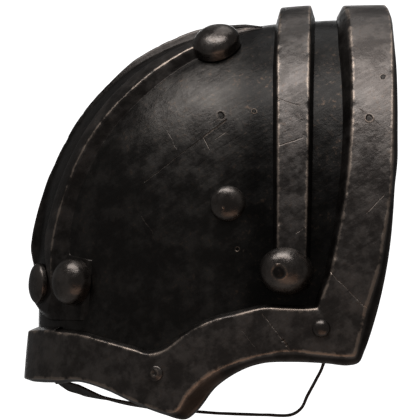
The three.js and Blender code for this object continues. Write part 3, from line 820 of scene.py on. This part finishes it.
# Small round marks on the front, as x, z, radius and width of the bright ring in millimetres, and strength.
FRONT_PITS = {
    "dome": [(-22.8, 96.6, 1.3, 0.6, 0.8), (-33, 14.4, 1.4, 0.6, 0.7), (-42.8, 94.0, 2.4, 1.4, 0.15)],
    "rim": [
        (45.6, 92.4, 2.4, 0.9, 1.0),
        (54, 117, 1.6, 0.9, 0.2),
        (51, -21, 1.5, 0.6, 0.3),
        (-6, -39.4, 1.1, 0.5, 0.1),
        (-4, -41.8, 1.2, 0.5, 0.1),
    ],
    "rivet": [(-8.4, 0.9, 4.6, 1.0, 1.3), (-41.4, 39.6, 0.5, 0.9, 1.6)],
}


POLISHED = (0.17, 0.155, 0.145, 1)
# Painted shade colour for the dome's neck side.
CHANNEL_SHADE_PAINT = (0.004, 0.004, 0.004, 1)
RUST = (0.13, 0.085, 0.06, 1)
HOLLOW = (0.012, 0.011, 0.01, 1)
# Painted shade colour, laid where the attribute goes below zero.
SHADE_PAINT = (0.008, 0.007, 0.006, 1)
SCRATCHED = (0.3, 0.22, 0.17, 1)
RUBBED = (0.4, 0.32, 0.265, 1)
# Dark and light colour of each steel, its least and most roughness, and how strongly it is mottled
STEELS = {
    "dome": ((0.035, 0.0315, 0.029, 1), (0.058, 0.0525, 0.048, 1), (0.26, 0.4), 0.35),
    "rim": ((0.08, 0.069, 0.063, 1), (0.148, 0.129, 0.118, 1), (0.3, 0.46), 1.0),
    "band": ((0.062, 0.0545, 0.05, 1), (0.126, 0.111, 0.103, 1), (0.3, 0.46), 1.0),
    "strap": ((0.052, 0.045, 0.041, 1), (0.1, 0.087, 0.08, 1), (0.3, 0.46), 1.0),
    "rivet": ((0.085, 0.073, 0.066, 1), (0.15, 0.132, 0.12, 1), (0.22, 0.36), 1.0),
}


def steel(kind, group):
    """Blackened steel: mottled, stained and scratched, rubbed to warm bright metal on its arrises, and
    darkened by painted shade where its attribute goes below zero and, on the dome, towards the neck side.
    """
    base, lit, rough, mottle = STEELS[kind]
    material = bpy.data.materials.new(f"{kind}_steel")
    material.use_nodes = True
    n = Nodes(material.node_tree)
    shader = material.node_tree.nodes["Principled BSDF"]
    where = n.add("ShaderNodeTexCoord").outputs["Object"]
    wear_and_shading = n.add("ShaderNodeAttribute", attribute_name="wear_and_shading").outputs["Fac"]
    broad = n.noise(where, 26, 5, 0.6)
    patch = n.noise(where, 75, 6, 0.62)
    mid = n.noise(n.vector("ADD", where, (0.3, 0.1, 0.7)), 190, 5, 0.62)
    fine = n.noise(where, 420, 4, 0.6)
    grit = n.noise(where, 1500, 2, 0.5)
    turned = n.add("ShaderNodeVectorRotate", {"Angle": math.radians(32)}, rotation_type="Y_AXIS")
    n.put(turned.inputs["Vector"], where)
    brush = n.noise(n.vector("MULTIPLY", turned.outputs["Vector"], (1, 1, 14)), 42, 4, 0.6)
    wobble = n.add("ShaderNodeTexNoise", {"Scale": 180.0, "Detail": 2.0})
    n.put(wobble.inputs["Vector"], where)
    shift = n.add("ShaderNodeVectorMath", operation="SCALE")
    n.put(shift.inputs[0], n.vector("SUBTRACT", wobble.outputs["Color"], (0.5, 0.5, 0.5)))
    shift.inputs["Scale"].default_value = 0.0016
    bent = n.vector("ADD", where, shift.outputs["Vector"])
    flat = n.vector("MULTIPLY", bent, (1, 0, 1))
    on_front = n.ramp(n.add("ShaderNodeSeparateXYZ", {"Vector": where}).outputs["Y"], -0.001, 0.001, 1.0, 0.0)
    line = 0.0
    for x1, z1, x2, z2, half, strength in MARKS.get(kind, ()):
        g = n.add("ShaderNodeGroup", node_tree=group)
        n.put(g.inputs["place"], flat)
        g.inputs["start"].default_value = (x1 * MM, 0, z1 * MM)
        g.inputs["run"].default_value = ((x2 - x1) * MM, 0, (z2 - z1) * MM)
        g.inputs["half"].default_value = half * MM
        line = n.math("MAXIMUM", line, n.math("MULTIPLY", g.outputs["mask"], strength))
    pit, hollow = 0.0, 0.0
    for x, z, radius, width, strength in FRONT_PITS.get(kind, ()):
        away = n.vector("LENGTH", n.vector("SUBTRACT", flat, (x * MM, 0, z * MM)))
        off = n.math("ABSOLUTE", n.math("SUBTRACT", away, radius * MM))
        pit = n.math("MAXIMUM", pit, n.ramp(off, 0.0, width * MM, strength, 0.0))
        hollow = n.math("MAXIMUM", hollow, n.ramp(away, radius * 0.6 * MM, radius * MM, 1.0, 0.0))
    line = n.math("MULTIPLY", n.math("MULTIPLY", line, n.ramp(mid, 0.35, 0.6, 0.45, 1.0)), on_front)
    pit = n.math("MULTIPLY", n.math("MULTIPLY", pit, n.ramp(mid, 0.38, 0.55, 0.4, 1.0)), on_front)
    hollow = n.math("MULTIPLY", hollow, on_front)
    # Painted shade: how far the attribute goes below zero.
    painted_shade = n.math("MULTIPLY", wear_and_shading, -0.75, clamp=True)
    # Worn arrises, broken up by noise.
    rubbed = n.math("MULTIPLY", wear_and_shading, n.ramp(patch, 0.36, 0.6, 0.45, 1.15), clamp=True)
    coarse_break = n.math("MULTIPLY", n.math("SUBTRACT", mid, 0.5), 1.5)
    fine_break = n.math("MULTIPLY", n.math("SUBTRACT", fine, 0.5), 0.8)
    broken = n.math("ADD", coarse_break, fine_break)
    rubbed = n.ramp(n.math("ADD", rubbed, broken), 0.3, 1.0)
    polish = n.math("MULTIPLY", n.ramp(broad, 0.46, 0.62), n.ramp(mid, 0.42, 0.62))
    colour = n.mix(n.ramp(patch, 0.42, 0.62), base, lit)
    colour = n.mix(n.math("MULTIPLY", polish, 0.35 * mottle), colour, POLISHED)
    if kind == "dome":
        # Painted shade: the dome grows darker towards the neck side, over the channel between the raised
        # bands.
        across = n.add("ShaderNodeSeparateXYZ", {"Vector": where}).outputs["X"]
        channel_shade = n.ramp(across, -0.05, -0.02, 0.0, 0.7)
        colour = n.mix(channel_shade, colour, CHANNEL_SHADE_PAINT)
    rust = n.math("MULTIPLY", n.ramp(fine, 0.54, 0.7), n.ramp(patch, 0.5, 0.62, 0.25, 1.0))
    colour = n.mix(n.math("MULTIPLY", rust, 0.45), colour, RUST)
    colour = n.mix(n.math("MULTIPLY", hollow, 0.8), colour, HOLLOW)
    # Mixes in the painted shade.
    colour = n.mix(painted_shade, colour, SHADE_PAINT)
    marks = n.math("MAXIMUM", n.math("MULTIPLY", line, 0.5), n.math("MULTIPLY", pit, 0.5))
    colour = n.mix(marks, colour, SCRATCHED)
    colour = n.mix(n.math("MULTIPLY", rubbed, 0.85), colour, RUBBED)
    gloss = n.math("ADD", n.math("MULTIPLY", patch, 0.6), n.math("MULTIPLY", brush, 0.4))
    roughness = n.ramp(gloss, 0.36, 0.64, rough[0], rough[1])
    roughness = n.math("ADD", roughness, n.math("MULTIPLY", n.math("SUBTRACT", mid, 0.5), 0.25 * mottle))
    height = n.math("ADD", n.math("MULTIPLY", patch, 0.5 * mottle), n.math("MULTIPLY", mid, 0.28 * mottle))
    height = n.math("ADD", height, n.math("MULTIPLY", fine, 0.14))
    height = n.math("ADD", height, n.math("MULTIPLY", brush, 0.1))
    height = n.math("ADD", height, n.math("MULTIPLY", grit, 0.025))
    height = n.math("SUBTRACT", height, n.math("MULTIPLY", n.math("MAXIMUM", line, hollow), 0.5))
    height = n.math("ADD", height, n.math("MULTIPLY", pit, 0.2))
    bump = n.add("ShaderNodeBump", {"Strength": 0.6, "Distance": 0.0012})
    n.put(bump.inputs["Height"], height)
    n.put(shader.inputs["Base Color"], colour)
    n.put(shader.inputs["Roughness"], roughness)
    n.put(shader.inputs["Normal"], bump.outputs["Normal"])
    shader.inputs["Metallic"].default_value = 0.9
    return material


def leather():
    material = bpy.data.materials.new("black_leather")
    material.use_nodes = True
    n = Nodes(material.node_tree)
    shader = material.node_tree.nodes["Principled BSDF"]
    where = n.add("ShaderNodeTexCoord").outputs["Object"]
    wear_and_shading = n.add("ShaderNodeAttribute", attribute_name="wear_and_shading").outputs["Fac"]
    grain = n.add("ShaderNodeTexVoronoi", {"Scale": 900.0}, feature="DISTANCE_TO_EDGE")
    n.put(grain.inputs["Vector"], where)
    patch = n.noise(where, 90, 4)
    colour = n.mix(n.ramp(patch, 0.4, 0.7), (0.012, 0.009, 0.008, 1), (0.03, 0.022, 0.018, 1))
    colour = n.mix(n.math("MULTIPLY", wear_and_shading, 0.4), colour, (0.08, 0.055, 0.04, 1))
    height = n.math("ADD", n.ramp(grain.outputs["Distance"], 0.0, 0.2), patch)
    bump = n.add("ShaderNodeBump", {"Strength": 0.4, "Distance": 0.0004})
    n.put(bump.inputs["Height"], height)
    n.put(shader.inputs["Base Color"], colour)
    n.put(shader.inputs["Roughness"], n.ramp(patch, 0.3, 0.7, 0.55, 0.8))
    n.put(shader.inputs["Normal"], bump.outputs["Normal"])
    return material


# Stage
PIXEL = 0.6
PHOTO_SIDE = 420
VIEW_X = (PHOTO_SIDE / 2 - 292) * PIXEL
VIEW_Z = (273 - PHOTO_SIDE / 2) * PIXEL
CAMERA_FAR = 9000
SENSOR = 36
# In metres
FLOOR_HALF = 30
FLOOR_Z = -1.6
BACKDROP_HALF = 0.7


def camera():
    data = bpy.data.cameras.new("camera")
    data.sensor_width = SENSOR
    data.lens = SENSOR * CAMERA_FAR / (PHOTO_SIDE * PIXEL)
    data.clip_end = 100
    obj = bpy.data.objects.new("camera", data)
    bpy.context.scene.collection.objects.link(obj)
    obj.location = Vector((VIEW_X, -CAMERA_FAR, VIEW_Z)) * MM
    obj.rotation_euler = (math.radians(90), 0, 0)
    bpy.context.scene.camera = obj


def lamp(name, where, size, power, aim=(-30, 0, 40), tint=(1, 1, 1)):
    data = bpy.data.lights.new(name, "AREA")
    data.shape = "RECTANGLE"
    data.size, data.size_y = size[0] * MM, size[1] * MM
    data.energy = power
    data.color = tint
    obj = bpy.data.objects.new(name, data)
    bpy.context.scene.collection.objects.link(obj)
    obj.location = Vector(where) * MM
    obj.rotation_euler = (Vector(aim) - Vector(where)).to_track_quat("-Z", "Y").to_euler()
    return obj


def sheet(name, corners, where, look, rough=None, glow=0.0):
    """A plain flat sheet of the stage, in metres."""
    mesh = bpy.data.meshes.new(name)
    mesh.from_pydata(corners, [], [(0, 1, 2, 3)])
    obj = bpy.data.objects.new(name, mesh)
    bpy.context.scene.collection.objects.link(obj)
    obj.location = where
    material = bpy.data.materials.new(look)
    material.use_nodes = True
    shader = material.node_tree.nodes["Principled BSDF"]
    shader.inputs["Base Color"].default_value = (0.9, 0.9, 0.9, 1)
    if rough is not None:
        shader.inputs["Roughness"].default_value = rough
    if glow:
        shader.inputs["Emission Color"].default_value = (1, 1, 1, 1)
        shader.inputs["Emission Strength"].default_value = glow
    mesh.materials.append(material)


def floor():
    s = FLOOR_HALF
    sheet("floor", [(-s, -s, 0), (s, -s, 0), (s, s, 0), (-s, s, 0)], (0, 0, FLOOR_Z), "pale_floor", rough=0.9)


def backdrop():
    """It stands behind the part, so a camera straight behind sees only this."""
    s = BACKDROP_HALF
    corners = [(-s, 0, -s), (s, 0, -s), (s, 0, s), (-s, 0, s)]
    sheet("backdrop", corners, (VIEW_X * MM, 2.5, 0.3), "white_backdrop", glow=1.1)


def studio():
    scene = bpy.context.scene
    scene.view_settings.view_transform = "Standard"
    scene.view_settings.look = "None"
    world = bpy.data.worlds.new("studio")
    scene.world = world
    world.use_nodes = True
    background = world.node_tree.nodes["Background"]
    background.inputs["Color"].default_value = (1, 1, 1, 1)
    background.inputs["Strength"].default_value = 0.1
    lamp("key", (-217, -440, 1050), (1080, 480), 7.6)
    lamp("overhead", (66, 246, 1127), (590, 890), 1.7)
    lamp("bounce", (100, -700, -500), (900, 500), 0.6, tint=(1, 0.62, 0.42))


camera()
floor()
backdrop()
studio()
scratch = scratch_group()
dome_shell(steel("dome", scratch))
rim_band(steel("rim", scratch))
inner_band(steel("band", scratch))
strap_steel = steel("strap", scratch)
for label, side in SIDES.items():
    crest_strap(label, side, strap_steel)
rivets(steel("rivet", scratch))
arm_strap(leather())
